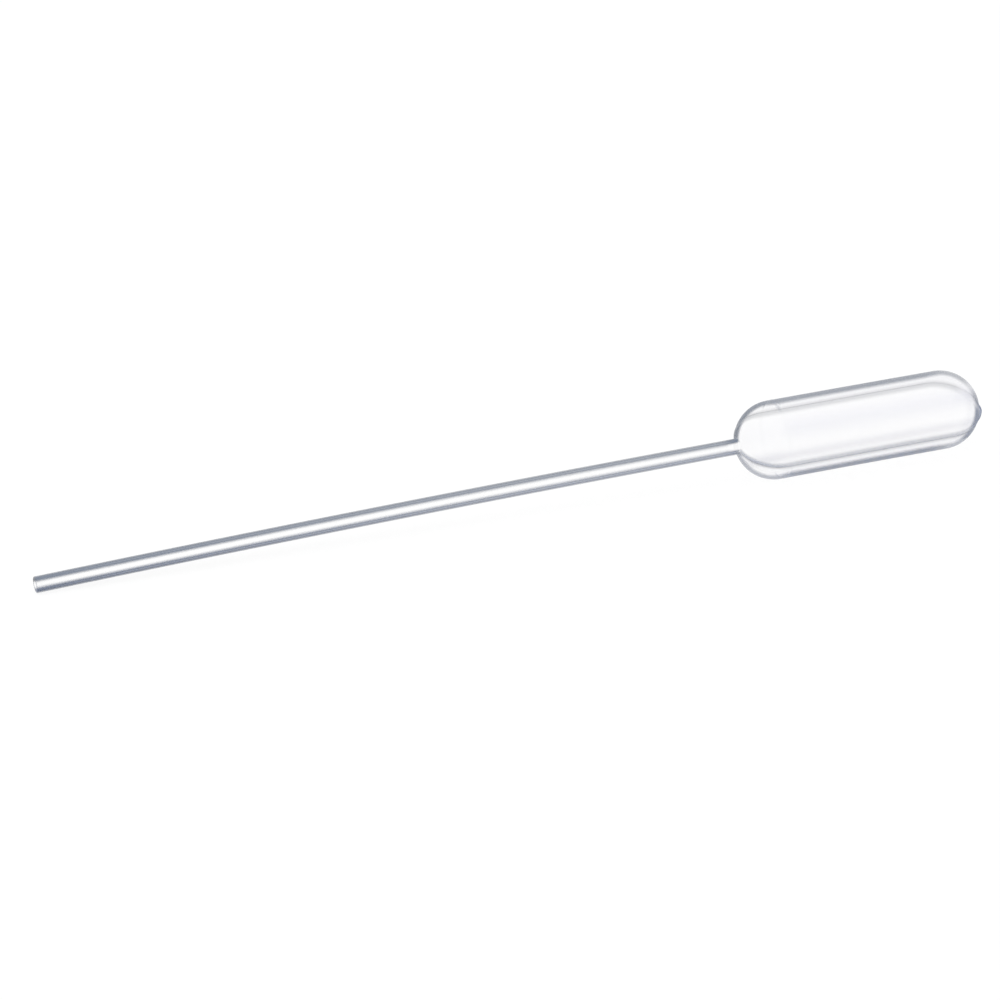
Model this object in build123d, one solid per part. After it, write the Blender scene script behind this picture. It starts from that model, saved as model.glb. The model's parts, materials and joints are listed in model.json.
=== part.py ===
"""A plastic dropper pipette: stem and squeeze bulb blow-moulded as one hollow piece.

It is modelled straight along +X, from its open tip at x = 0 to the far end of its bulb. The
parting plane of its mould is z = 0. Lengths are in millimetres and angles in degrees.
"""

from build123d import *
import os
from math import radians, sqrt, tan

# Stem
stem_length = 114.2  # open tip to neck
stem_diameter = 2.56
stem_bore = 1.2
tip_round = 0.15  # softened edge round the outside of the mouth

# Bulb
bulb_length = 40.8  # neck to the pole of the far dome
bulb_diameter = 12.5
bulb_wall = 0.55
bulb_end_wall = 1.2  # at the far pole, where the hot tube was pinched shut
outer_neck_round = 0.35
inner_neck_round = 0.3

# Parting line: the low ridge that the two halves of the mould leave all the way round
bulb_ridge_height = 0.12
stem_ridge_height = 0.05
ridge_slope = 22.0  # of each flank, from the skin up to the crest
ridge_root = 0.08  # how far the flanks run on below the skin

# Pinch-off: the flat weld that closes the far dome, in the parting plane
pinch_width = 8.0  # along the dome, where it meets the skin
pinch_height = 0.6  # above the dome's pole
pinch_thickness = 0.9
pinch_round = 0.3

# Witness line of the mould's neck insert: a faint bead round the bulb
insert_line_offset = 6.8  # from the neck
insert_line_height = 0.05
insert_line_bead = 0.2  # radius of the bead's section, most of which is in the wall

# Worked out from the sizes above
stem_radius = stem_diameter / 2
bulb_radius = bulb_diameter / 2
near_centre_x = stem_length + sqrt(bulb_radius**2 - stem_radius**2)
pole_x = stem_length + bulb_length
far_centre_x = pole_x - bulb_radius
insert_line_x = stem_length + insert_line_offset
insert_line_radius = bulb_radius + insert_line_height - insert_line_bead


def side_view(stem_half_width, bulb_half_width, start_x, far_x, neck_round):
    """Stem and bulb from the side: a strip that runs into a slot with round ends."""
    stem_middle = Pos((start_x + near_centre_x) / 2, 0)
    bulb_middle = Pos((near_centre_x + far_x) / 2, 0)
    stem = stem_middle * Rectangle(near_centre_x - start_x, 2 * stem_half_width)
    bulb = bulb_middle * SlotCenterToCenter(far_x - near_centre_x, 2 * bulb_half_width)
    view = stem + bulb
    neck_corners = view.vertices().sort_by(Axis.X)[2:4]
    return fillet(neck_corners, neck_round)


def turned(view):
    """The solid that a side view sweeps about the pipette's axis."""
    return revolve(split(view, bisect_by=Plane.XZ, keep=Keep.TOP), Axis.X)


def skin():
    """The round outside, with a softened rim at the tip."""
    view = side_view(stem_radius, bulb_radius, 0, far_centre_x, outer_neck_round)
    rim = view.vertices().sort_by(Axis.X)[:2]
    return turned(fillet(rim, tip_round))


def cavity():
    """The air inside: the bore, and the bulb's hollow with a thicker wall at the far pole."""
    hollow_end_x = far_centre_x - (bulb_end_wall - bulb_wall)
    past_the_mouth = -stem_bore
    hollow_radius = bulb_radius - bulb_wall
    return turned(
        side_view(stem_bore / 2, hollow_radius, past_the_mouth, hollow_end_x, inner_neck_round)
    )


def parting_ridge():
    """A plate in the parting plane, whose sloping flanks meet in a crest outside the skin."""
    stem_crest = stem_radius + stem_ridge_height
    bulb_crest = bulb_radius + bulb_ridge_height
    view = side_view(stem_crest, bulb_crest, tip_round, far_centre_x, outer_neck_round)
    half_thickness = (bulb_ridge_height + ridge_root) / tan(radians(ridge_slope))
    return extrude(view, half_thickness, both=True, taper=ridge_slope)


def pinch_off():
    """The weld across the far pole: a softly edged coin whose rim stands out of the dome."""
    half_width = pinch_width / 2
    skin_x = far_centre_x + sqrt(bulb_radius**2 - half_width**2)
    rise = pole_x + pinch_height - skin_x
    coin_radius = (half_width**2 + rise**2) / (2 * rise)
    coin = Cylinder(coin_radius, pinch_thickness)
    coin = fillet(coin.edges().filter_by(GeomType.CIRCLE), pinch_round)
    return Pos(pole_x + pinch_height - coin_radius) * coin


def insert_line():
    """The faint bead that the mould's neck insert leaves round the bulb."""
    return Pos(insert_line_x) * Rot(Y=90) * Torus(insert_line_radius, insert_line_bead)


def dropper_pipette():
    """The whole moulding."""
    return (skin() + parting_ridge() + pinch_off() + insert_line()) - cavity()


os.makedirs("parts", exist_ok=True)
export_step(dropper_pipette(), "parts/dropper_pipette.step")
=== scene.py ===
"""A clear plastic dropper pipette lying on a white table.

The moulding is one hollow mesh. It is made in its own frame, where x runs along the pipette from the
mouth of its tip and the parting plane of the mould is z = 0, bent by the stem's slight bow, and then
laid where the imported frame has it. Sizes of the pipette are in millimetres until they become mesh
points. Everything on the stage is in metres.
"""

import bpy
import json
from math import asin, cos, degrees, radians, sin, sqrt, tan

import numpy as np
from mathutils import Matrix, Vector


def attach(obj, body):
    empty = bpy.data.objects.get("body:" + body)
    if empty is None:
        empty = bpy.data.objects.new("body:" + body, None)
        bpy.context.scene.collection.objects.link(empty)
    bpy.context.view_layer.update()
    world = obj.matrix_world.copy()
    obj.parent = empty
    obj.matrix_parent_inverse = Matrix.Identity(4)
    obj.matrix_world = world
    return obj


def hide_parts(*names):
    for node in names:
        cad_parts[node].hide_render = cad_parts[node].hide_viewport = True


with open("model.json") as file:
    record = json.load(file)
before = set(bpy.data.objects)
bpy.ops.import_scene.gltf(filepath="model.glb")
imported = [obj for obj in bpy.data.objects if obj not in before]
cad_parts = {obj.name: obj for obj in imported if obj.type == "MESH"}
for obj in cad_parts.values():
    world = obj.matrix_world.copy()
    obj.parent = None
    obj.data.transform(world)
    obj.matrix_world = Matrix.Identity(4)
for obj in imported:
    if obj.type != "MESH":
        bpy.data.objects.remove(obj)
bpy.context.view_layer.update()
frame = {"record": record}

MM = 0.001

# ---------------------------------------------------------------- sizes that the frame states

mounts = {mount["name"]: mount for mount in frame["record"]["mounts"]}


def place(name):
    return Vector(mounts[name]["pos_m"])


def direction(name):
    return Vector(mounts[name]["axis"]).normalized()


def size(name, dimension):
    return mounts[name]["dims"][dimension]


STEM_RADIUS = size("stem", "r_mm")
BORE_RADIUS = size("tip_bore", "r_mm")
BULB_RADIUS = size("bulb", "r_mm")
MOUTH = place("tip_bore") + direction("tip_bore") * size("tip_bore", "length_mm") / 2 * MM
BULB_STRAIGHT = size("bulb", "length_mm")
BULB_MIDDLE = (place("bulb") - MOUTH).length / MM
NEAR_CENTRE = BULB_MIDDLE - BULB_STRAIGHT / 2
FAR_CENTRE = BULB_MIDDLE + BULB_STRAIGHT / 2
POLE = FAR_CENTRE + BULB_RADIUS
NECK = NEAR_CENTRE - sqrt(BULB_RADIUS**2 - STEM_RADIUS**2)

# ---------------------------------------------------------------- sizes of the moulding's detail

TIP_ROUND = 0.15
BULB_WALL = 0.55
BULB_END_WALL = 1.2
OUTER_NECK_ROUND = 0.35
INNER_NECK_ROUND = 0.3

PARTING_TURN = 16.75  # degrees from the table up to the parting plane
BOW = 0.416  # how far the stem's middle stands above a straight line from the mouth to the bulb
BULB_RIDGE = 0.12
STEM_RIDGE = 0.05
RIDGE_SLOPE = 22.0

LIT_TURN = 44.75  # degrees from the parting line up to the side that faces the light

PINCH_WIDTH = 8.0
PINCH_HEIGHT = 0.6
PINCH_THICKNESS = 0.9
PINCH_ROUND = 0.3
PINCH_TRIM = 0.7  # share of its height that is cut away on its far side

INSERT_LINE = NECK + 6.8
INSERT_LINE_HEIGHT = 0.03
INSERT_LINE_HALF_WIDTH = 0.25


# ---------------------------------------------------------------- the moulding's mesh

def arc(centre_x, radius, start, end, steps, centre_r=0.0, hollow=False):
    """Points on an arc of the side view, each with the normal that points out of the skin."""
    turn = np.radians(np.linspace(start, end, steps))
    out = np.stack([np.cos(turn), np.sin(turn)], axis=1)
    points = np.array([centre_x, centre_r]) + radius * out
    return np.hstack([points, -out if hollow else out])


def line(start_x, end_x, radius, steps):
    """Points on a line of the side view that runs along the axis."""
    x = np.linspace(start_x, end_x, steps)
    return np.stack([x, np.full(steps, radius), np.zeros(steps), np.ones(steps)], axis=1)


def side_line(tube, bulb, far_centre, neck_round, start_x, stations):
    """One skin from the side: a straight tube, the neck's round, and a bulb with two round ends."""
    lean = asin((tube + neck_round) / (bulb + neck_round))
    round_x = NEAR_CENTRE - (bulb + neck_round) * cos(lean)
    along_tube, round_neck, near_dome, far_dome = stations
    return np.vstack([
        line(start_x, round_x, tube, along_tube)[:-1],
        arc(round_x, neck_round, -90, -degrees(lean), round_neck, tube + neck_round, hollow=True)[:-1],
        arc(NEAR_CENTRE, bulb, 180 - degrees(lean), 90, near_dome)[:-1],
        straight_stations(bulb, far_centre),
        arc_by(far_centre, bulb, far_dome),
    ])


def straight_stations(bulb, far_centre):
    """The bulb's straight part, with close stations where the neck insert's line rings it."""
    near = np.linspace(NEAR_CENTRE, INSERT_LINE - INSERT_LINE_HALF_WIDTH, 3)[:-1]
    ring = np.linspace(INSERT_LINE - INSERT_LINE_HALF_WIDTH, INSERT_LINE + INSERT_LINE_HALF_WIDTH, 9)
    rest = np.linspace(INSERT_LINE + INSERT_LINE_HALF_WIDTH, far_centre, 16)[1:-1]
    x = np.concatenate([near, ring, rest])
    return np.stack([x, np.full(len(x), bulb), np.zeros(len(x)), np.ones(len(x))], axis=1)


def arc_by(far_centre, bulb, steps):
    """The far dome, from the straight part to just short of the pole, with close stations near the pole."""
    share = np.linspace(0, 1, steps)[:-1]
    polar = 90 * (1 - share) ** 1.5
    turn = np.radians(polar)
    out = np.stack([np.cos(turn), np.sin(turn)], axis=1)
    return np.hstack([np.array([far_centre, 0.0]) + bulb * out, out])


def rim():
    """The mouth's flat ring and the softened edge round its outside."""
    inner = np.array([[0.0, BORE_RADIUS], [0.0, BORE_RADIUS + 0.03], [0.0, STEM_RADIUS - TIP_ROUND]])
    flat = np.hstack([inner, np.tile([-1.0, 0.0], (3, 1))])
    return np.vstack([flat, arc(TIP_ROUND, TIP_ROUND, 180, 90, 7, STEM_RADIUS - TIP_ROUND)[1:-1]])


def turns():
    """Angles about the axis, in radians: close together at the parting line, where the ridge is."""
    close = [0, 0.5, 1, 1.5, 2, 2.5, 3, 3.6, 4.3, 5.1, 6, 7, 8.2, 9.6, 11.2, 13]
    quarter = np.concatenate([close, np.linspace(15.2, 90, 34)])
    half = np.concatenate([quarter, 180 - quarter[-2::-1]])
    return np.radians(np.concatenate([half, 360 - half[-2:0:-1]]))


def eased(value, low, high):
    """0 below low, 1 above high, and a smooth rise between them."""
    share = np.clip((value - low) / (high - low), 0, 1)
    return share * share * (3 - 2 * share)


def parting_height(x, off_plane):
    """How far the parting ridge stands out of the skin, this far from the parting plane."""
    crest = STEM_RIDGE + (BULB_RIDGE - STEM_RIDGE) * eased(x, NECK - 0.5, NECK + 2.0)
    crest = crest * eased(x, 0.1, 0.6)
    half_width = crest / tan(radians(RIDGE_SLOPE)) * 1.15 + 1e-9
    return crest * eased(half_width - off_plane, 0, half_width)


def pinch_trim(y):
    """What is left of the pinch-off's height at this place across it."""
    return 1 - PINCH_TRIM * eased(y, -2.2, 0.2)


def pinch_off_height(x, y, z):
    """How far the pinch-off's coin stands out of the far dome, measured from the dome's centre."""
    half_width = PINCH_WIDTH / 2
    skin_x = sqrt(BULB_RADIUS**2 - half_width**2)
    rise = BULB_RADIUS + PINCH_HEIGHT - skin_x
    coin = (half_width**2 + rise**2) / (2 * rise)
    coin_x = BULB_RADIUS + PINCH_HEIGHT - coin
    reach = np.sqrt((x - FAR_CENTRE) ** 2 + y**2 + z**2)
    in_plane = np.sqrt((x - FAR_CENTRE) ** 2 + y**2)
    ahead = (x - FAR_CENTRE) / np.maximum(in_plane, 1e-9)
    flat_half = PINCH_THICKNESS / 2 - PINCH_ROUND
    distance = reach.copy()
    for _ in range(4):
        off = np.abs(z) * distance / reach
        past = np.clip(off - flat_half, 0, PINCH_ROUND)
        edge = coin - PINCH_ROUND + np.sqrt(PINCH_ROUND**2 - past**2)
        away = coin_x * ahead + np.sqrt(np.maximum(edge**2 - coin_x**2 * (1 - ahead**2), 0))
        distance = away * reach / np.maximum(in_plane, 1e-9)
    side = 1 - eased(off, PINCH_THICKNESS / 2 - 0.04, PINCH_THICKNESS / 2 + 0.04)
    return np.where(x > FAR_CENTRE, np.maximum(distance - reach, 0) * side * pinch_trim(y), 0)


def lift(x):
    """How far the moulding's slight bow raises it, this far from the mouth."""
    share = x / NEAR_CENTRE
    return share * (1 - share) * (4 * BOW)


def bowed(points):
    """The straight moulding's points, bent a little upwards, as a long thin moulding cools."""
    up = np.array([0, sin(radians(PARTING_TURN)), cos(radians(PARTING_TURN))])
    x = points[:, 0]
    slope = 4 * BOW / NEAR_CENTRE * (1 - 2 * x / NEAR_CENTRE)
    bent = points + np.outer(lift(x), up)
    bent[:, 0] -= slope * (points @ up)
    return bent


def swept(view, turn):
    """The side view's stations turned about the axis: points and normals, station by station."""
    x, r, nx, nr = (view[:, k, None] for k in range(4))
    spread = np.ones_like(turn)[None, :]
    points = np.stack([x * spread, r * np.cos(turn), r * np.sin(turn)], axis=2)
    normals = np.stack([nx * spread, nr * np.cos(turn), nr * np.sin(turn)], axis=2)
    return points, normals


def outer_skin(turn):
    """The outside, with the parting ridge, the neck insert's line and the pinch-off raised on it."""
    view = np.vstack([
        rim(),
        side_line(STEM_RADIUS, BULB_RADIUS, FAR_CENTRE, OUTER_NECK_ROUND, TIP_ROUND, (18, 12, 44, 84)),
    ])
    points, normals = swept(view, turn)
    x, y, z = (points[:, :, k] for k in range(3))
    ridge = parting_height(x, np.abs(z)) * (np.abs(normals[:, :, 0]) < 0.999)
    ring = INSERT_LINE_HEIGHT * (1 - eased(np.abs(x - INSERT_LINE), 0, INSERT_LINE_HALF_WIDTH))
    height = np.maximum(np.maximum(ridge, ring), pinch_off_height(x, y, z))
    return points + normals * height[:, :, None]


def inner_skin(turn):
    """The bore and the bulb's hollow, whose far dome is thicker where the tube was pinched shut."""
    hollow_end = FAR_CENTRE - (BULB_END_WALL - BULB_WALL)
    view = side_line(
        BORE_RADIUS, BULB_RADIUS - BULB_WALL, hollow_end, INNER_NECK_ROUND, 0.0, (8, 10, 30, 34)
    )
    return swept(view[1:], turn)[0], hollow_end + BULB_RADIUS - BULB_WALL


def moulding_mesh():
    """The whole skin as one closed surface, from the outer pole round the mouth's rim to the inner pole."""
    turn = turns()
    outer = outer_skin(turn)
    inner, inner_pole = inner_skin(turn)
    rings = np.concatenate([outer[::-1], inner])
    count, around = rings.shape[:2]
    ends = [[POLE + PINCH_HEIGHT * pinch_trim(0), 0, 0], [inner_pole, 0, 0]]
    points = bowed(np.vstack([rings.reshape(-1, 3), ends])) * MM
    index = np.arange(count * around).reshape(count, around)
    following = np.roll(index, -1, axis=1)
    walls = np.stack([index[:-1], following[:-1], following[1:], index[1:]], axis=2).reshape(-1, 4)
    outer_cap = [(count * around, b, a) for a, b in zip(index[0], following[0])]
    inner_cap = [(count * around + 1, a, b) for a, b in zip(index[-1], following[-1])]
    mesh = bpy.data.meshes.new("pipette_moulding")
    mesh.from_pydata(points.tolist(), [], walls.tolist() + outer_cap + inner_cap)
    outside = np.repeat(np.arange(count - 1) < len(outer) - 1, around)
    slots = np.concatenate([np.where(outside, 0, 1), np.zeros(around), np.ones(around)]).astype(int)
    mesh.polygons.foreach_set("material_index", slots)
    mesh.polygons.foreach_set("use_smooth", np.ones(len(mesh.polygons), dtype=bool))
    mesh.validate()
    mesh.update()
    return mesh


def resting_place():
    """From the pipette's own straight frame to where it lies on the table."""
    along = direction("bulb")
    across = Vector((0, 1, 0))
    upward = along.cross(across)
    turned = Matrix.Rotation(radians(PARTING_TURN), 3, along)
    columns = [along, turned @ across, turned @ upward]
    return Matrix.Translation(MOUTH) @ Matrix(columns).transposed().to_4x4()


# ---------------------------------------------------------------- shader expressions

class Wire:
    """One output of a node, which sums and products can be written with. Each adds a Math node."""

    def __init__(self, tree, socket):
        self.tree = tree
        self.socket = socket

    def math(self, operation, *others, clamp=False):
        node = self.tree.nodes.new("ShaderNodeMath")
        node.operation = operation
        node.use_clamp = clamp
        for target, value in zip(node.inputs, (self, *others)):
            feed(self.tree, target, value)
        return Wire(self.tree, node.outputs[0])

    def __add__(self, other):
        return self.math("ADD", other)

    def __sub__(self, other):
        return self.math("SUBTRACT", other)

    def __mul__(self, other):
        return self.math("MULTIPLY", other)

    def __truediv__(self, other):
        return self.math("DIVIDE", other)

    def __pow__(self, other):
        return self.math("POWER", other)

    def __rsub__(self, other):
        return self * -1 + other

    __radd__ = __add__
    __rmul__ = __mul__

    def __abs__(self):
        return self.math("ABSOLUTE")

    def clamped(self):
        return self.math("ADD", 0.0, clamp=True)

    def rise(self, low, high):
        """0 up to low, 1 from high on, and a smooth rise between."""
        share = ((self - low) / (high - low)).clamped()
        return share * share * (3 - 2 * share)

    def bump(self, middle, half_width):
        """1 at the middle, falling smoothly to 0 at half_width either side."""
        return 1 - abs(self - middle).rise(0, half_width)


def feed(tree, target, value):
    """A socket's input: a link if the value is a wire, and otherwise the value itself."""
    if isinstance(value, Wire):
        tree.links.new(value.socket, target)
    else:
        target.default_value = value


class Finish:
    """A material, with one method for every node that isn't arithmetic."""

    def __init__(self, name):
        self.material = bpy.data.materials.new(name)
        self.material.use_nodes = True
        self.tree = self.material.node_tree
        self.tree.nodes.clear()

    def node(self, kind, output=0, settings=None, **sockets):
        made = self.tree.nodes.new("ShaderNode" + kind)
        for name, value in (settings or {}).items():
            setattr(made, name, value)
        for name, value in sockets.items():
            feed(self.tree, made.inputs[name.replace("_", " ")], value)
        return Wire(self.tree, made.outputs[output])

    def tinted(self, share, first, second):
        """The first colour where share is 0, and the second where it is 1."""
        made = self.tree.nodes.new("ShaderNodeMix")
        made.data_type = "RGBA"
        colours = [socket for socket in made.inputs if socket.type == "RGBA"]
        feed(self.tree, made.inputs[0], share)
        feed(self.tree, colours[0], first)
        feed(self.tree, colours[1], second)
        return Wire(self.tree, made.outputs[2])

    def done(self, surface):
        output = self.tree.nodes.new("ShaderNodeOutputMaterial")
        self.tree.links.new(surface.socket, output.inputs["Surface"])
        return self.material


# ---------------------------------------------------------------- finishes

# painted shade: the grey-blue laid on where the wall is seen edge-on, in place of the dark that refraction
# shows at a clear wall's edges
EDGE_SHADE_GREY = (0.20, 0.235, 0.30, 1)
EDGE_SHADE_BLUE = (0.22, 0.28, 0.43, 1)
HAZE = (0.46, 0.47, 0.72, 1)
SKIN_ROUGHNESS = 0.3
SKIN_IOR = 1.3
INSIDE_ALPHA = 0.003

# strengths and onset of the painted edge shade
STEM_EDGE_STRENGTH = 0.74  # at the mouth
BULB_EDGE_STRENGTH = 0.58
BULB_EDGE_FROM = 0.845  # how far aside the bulb's wall is where it starts to darken
BULB_EDGE_FULL = 0.948
SEAM_WIDTH = 1.15
SEAM_STRENGTH = 0.31
PINCH_STRENGTH = 0.35

TABLE_WHITE = (0.14, 0.14, 0.14, 1)
TABLE_GLOW = 0.88
SKY_FILL = 0.75


def outer_finish():
    """The outside: clear, with a painted grey-blue shade where the wall is seen edge-on, standing in for
    the dark of refraction, and grey-blue along the parting line.
    """
    finish = Finish("clear_polyethylene_outside")
    laid = resting_place()
    own = finish.node(
        "Mapping",
        settings={"vector_type": "TEXTURE"},
        Vector=finish.node("TexCoord", output=3),
        Location=laid.to_translation(),
        Rotation=laid.to_euler(),
        Scale=(MM, MM, MM),
    )
    x = finish.node("SeparateXYZ", Vector=own)
    y = finish.node("SeparateXYZ", output=1, Vector=own) - lift(x) * sin(radians(PARTING_TURN))
    z = finish.node("SeparateXYZ", output=2, Vector=own) - lift(x) * cos(radians(PARTING_TURN))
    facing = finish.node("LayerWeight", output=1, Blend=0.5)
    aside = (facing * (2 - facing)) ** 0.5  # 0 where the wall faces the eye, 1 where it is edge-on

    turn = radians(LIT_TURN)
    near = z * sin(turn) - y * cos(turn)
    low = (y * sin(turn) + z * cos(turn)) * -1
    upper = 1 - low.rise(-1.2, 1.2)
    middle = 1 - abs(low).rise(0.35, 0.8)
    in_bulb = x.rise(NECK - 0.2, NECK + 0.15)
    straight = x.rise(INSERT_LINE - 2.2, INSERT_LINE + 1.2)
    near_side = near.rise(-0.5, 0.5)
    near_dome = 1 - x.rise(NEAR_CENTRE - 2.0, NEAR_CENTRE + 0.5)
    far_dome = x.rise(FAR_CENTRE - 1.2, FAR_CENTRE + 2.6)
    far_end = x.rise(FAR_CENTRE + 4.3, FAR_CENTRE + 5.6)

    # the wall seen edge-on, darkened with a painted grey-blue shade in place of the dark that refraction
    # shows at a clear wall's edges
    at_neck = x.bump(NECK, 2.4)
    stem_strength = STEM_EDGE_STRENGTH - 0.14 * x.rise(0, 0.8 * NECK) + 0.09 * upper
    stem_strength = stem_strength + at_neck * (0.10 + 0.28 * upper)
    clear_middle = 0.21 + x * (0.08 / NECK)
    stem_edge_shade = (aside - clear_middle - 0.025 * (1 - upper)).rise(0, 0.44) * stem_strength
    stem_edge_shade = stem_edge_shade * (1 - 0.5 * aside.rise(0.76, 1.0))
    # painted edge shade made paler on the far dome's upper and lower sides and on the lower side by the
    # neck, and heavier low on the far dome and on the near dome's upper side
    pale_above = far_dome * (0.38 * upper + 0.38 * low.bump(-2.6, 1.8))
    pale_below = 0.4 * x.rise(FAR_CENTRE - 3.0, FAR_CENTRE + 0.8) * low.rise(4.9, 5.4)
    pale_neck_side = 0.34 * (1 - x.rise(NEAR_CENTRE - 0.5, NEAR_CENTRE + 3.0)) * low.rise(0.8, 2.0)
    deeper_edge_shade = 0.2 * far_dome * low.bump(1.5, 1.3) + 0.26 * near_dome * upper
    bulb_strength = BULB_EDGE_STRENGTH * (1 - pale_above - pale_below - pale_neck_side + deeper_edge_shade)
    crest = (1 - abs(z).rise(0.25, 0.5)) * (1 - far_end)
    bulb_edge_shade = (aside - 0.007 * (1 - upper)).rise(BULB_EDGE_FROM, BULB_EDGE_FULL)
    bulb_edge_shade = bulb_edge_shade * bulb_strength * (1 - 0.8 * crest)
    # the painted edge shade taken mostly away in the middle at the neck and the mouth
    open_neck = x.rise(NECK - 1.6, NECK - 0.7) * (1 - x.rise(NECK + 1.8, NECK + 3.2)) * middle
    open_mouth = (1 - x.rise(0.15, 0.6)) * middle
    wall = stem_edge_shade * (1 - in_bulb) + bulb_edge_shade * in_bulb
    wall = wall * (1 - 0.9 * open_neck) * (1 - 0.4 * open_mouth)

    # the moulding's lines
    grazing = aside.rise(0.76, 0.98)
    seam_width = SEAM_WIDTH - 0.12 * near_side - 0.2 * near_dome
    seam_strength = (SEAM_STRENGTH + 0.14 * near_side) * (1 + 0.3 * grazing + 0.25 * near_dome)
    seam_strength = seam_strength * (1 - 0.6 * far_end * (1 - near_side))
    seam = (1 - (abs(z) / seam_width).rise(0.0, 1.0)) * in_bulb * seam_strength
    pinch = far_end * (1 - abs(z).rise(0.35, 0.65)) * low.bump(1.7, 1.4) * PINCH_STRENGTH
    ring = x.bump(INSERT_LINE - 0.3, 0.5) * (0.015 + 0.26 * near_side * (1 - low.rise(-4.8, -3.8)))
    # dark holds the painted edge shade together with the seam, ring and pinch-off lines
    dark = 1 - (1 - wall) * (1 - seam) * (1 - ring) * (1 - pinch)

    # the faint bloom of the wall seen face on, in lengthwise bands
    bands = low.bump(-1.2, 2.7) * 0.11 * (0.3 + 0.7 * straight) + low.bump(2.85, 1.15) * 0.13
    bands = bands + low.bump(3.0, 1.9) * 0.05 * near_dome
    bands = bands + low.bump(-1.4, 1.7) * 0.05 * x.rise(FAR_CENTRE - 0.5, FAR_CENTRE + 1.5)
    bloom = (0.02 + bands * near_side + aside.rise(0.6, 0.82) * 0.04 * straight) * in_bulb + 0.002

    alpha = 1 - (1 - dark) * (1 - bloom)
    # the painted edge shade is bluer on the lower side and greyer on the upper side
    edge = finish.tinted(upper, EDGE_SHADE_BLUE, EDGE_SHADE_GREY)
    colour = finish.tinted((dark / alpha).clamped(), HAZE, edge)
    skin = finish.node(
        "BsdfPrincipled", Base_Color=colour, Alpha=alpha, Roughness=SKIN_ROUGHNESS, IOR=SKIN_IOR
    )
    return finish.done(skin)


def inner_finish():
    """The inside of the wall: clear."""
    finish = Finish("clear_polyethylene_inside")
    skin = finish.node(
        "BsdfPrincipled", Base_Color=HAZE, Alpha=INSIDE_ALPHA, Roughness=SKIN_ROUGHNESS, IOR=SKIN_IOR
    )
    return finish.done(skin)


def table_finish():
    """White, and bright enough in the open to read as a plain white sweep."""
    finish = Finish("white_table")
    paper = finish.node("BsdfDiffuse", Color=TABLE_WHITE)
    seen = finish.node("LightPath", output=0)
    glossy = finish.node("LightPath", output=3)
    through = finish.node("LightPath", output=6)
    looked_at = (seen + glossy + through).clamped()
    glow = finish.node("Emission", Color=(1, 1, 1, 1), Strength=looked_at * TABLE_GLOW)
    both = finish.tree.nodes.new("ShaderNodeAddShader")
    finish.tree.links.new(paper.socket, both.inputs[0])
    finish.tree.links.new(glow.socket, both.inputs[1])
    return finish.done(Wire(finish.tree, both.outputs[0]))


# ---------------------------------------------------------------- the piece

def pipette():
    mesh = moulding_mesh()
    mesh.transform(resting_place())
    mesh.materials.append(outer_finish())
    mesh.materials.append(inner_finish())
    piece = bpy.data.objects.new("dropper_pipette_moulding", mesh)
    bpy.context.scene.collection.objects.link(piece)
    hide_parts("dropper_pipette")
    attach(piece, "root")
    return piece


# ---------------------------------------------------------------- stage

TABLE_HALF = 3.0

LAMP_POSITION = (-0.35, -0.3, 1.2)
LAMP_ACROSS = 1.2
LAMP_WATTS = 6

CAMERA_TARGET = (-0.00316, 0, 0.00325)
CAMERA_AZIMUTH = -19.735
CAMERA_ELEVATION = 26.0
CAMERA_DISTANCE = 0.86
CAMERA_LENS = 199.96
CAMERA_SENSOR = 36.0

def table():
    half = TABLE_HALF
    mesh = bpy.data.meshes.new("table")
    corners = [(-half, -half, 0), (half, -half, 0), (half, half, 0), (-half, half, 0)]
    mesh.from_pydata(corners, [], [(0, 1, 2, 3)])
    mesh.materials.append(table_finish())
    top = bpy.data.objects.new("table", mesh)
    bpy.context.scene.collection.objects.link(top)


def lamp(name, position, target, across, watts):
    light = bpy.data.lights.new(name, "AREA")
    light.shape = "SQUARE"
    light.size = across
    light.energy = watts
    holder = bpy.data.objects.new(name, light)
    bpy.context.scene.collection.objects.link(holder)
    holder.location = position
    holder.rotation_euler = (Vector(target) - Vector(position)).to_track_quat("-Z", "Y").to_euler()


def sky():
    """White wherever it is looked at, and a soft even fill for what it lights."""
    world = bpy.data.worlds.new("white_room")
    bpy.context.scene.world = world
    world.use_nodes = True
    tree = world.node_tree
    tree.nodes.clear()
    rays = tree.nodes.new("ShaderNodeLightPath")
    seen = Wire(tree, rays.outputs["Is Camera Ray"])
    glossy = Wire(tree, rays.outputs["Is Glossy Ray"])
    through = Wire(tree, rays.outputs["Is Transmission Ray"])
    looked_at = (seen + glossy + through).clamped()
    background = tree.nodes.new("ShaderNodeBackground")
    background.inputs["Color"].default_value = (1, 1, 1, 1)
    feed(tree, background.inputs["Strength"], looked_at * (1 - SKY_FILL) + SKY_FILL)
    output = tree.nodes.new("ShaderNodeOutputWorld")
    tree.links.new(background.outputs[0], output.inputs["Surface"])


def camera():
    """A long lens on the pipette's middle, a little above the table and round towards the tip."""
    target = Vector(CAMERA_TARGET)
    azimuth = radians(CAMERA_AZIMUTH)
    elevation = radians(CAMERA_ELEVATION)
    back = Vector((sin(azimuth) * cos(elevation), -cos(azimuth) * cos(elevation), sin(elevation)))
    view = bpy.data.cameras.new("camera")
    view.lens = CAMERA_LENS
    view.sensor_width = CAMERA_SENSOR
    view.clip_start = 0.01
    view.clip_end = 20
    holder = bpy.data.objects.new("camera", view)
    bpy.context.scene.collection.objects.link(holder)
    holder.location = target + back * CAMERA_DISTANCE
    holder.rotation_euler = (-back).to_track_quat("-Z", "Y").to_euler()
    bpy.context.scene.camera = holder


pipette()
table()
sky()
lamp("soft_key", LAMP_POSITION, (0, 0, 0), LAMP_ACROSS, LAMP_WATTS)
camera()

view_settings = bpy.context.scene.view_settings
view_settings.view_transform = "Standard"
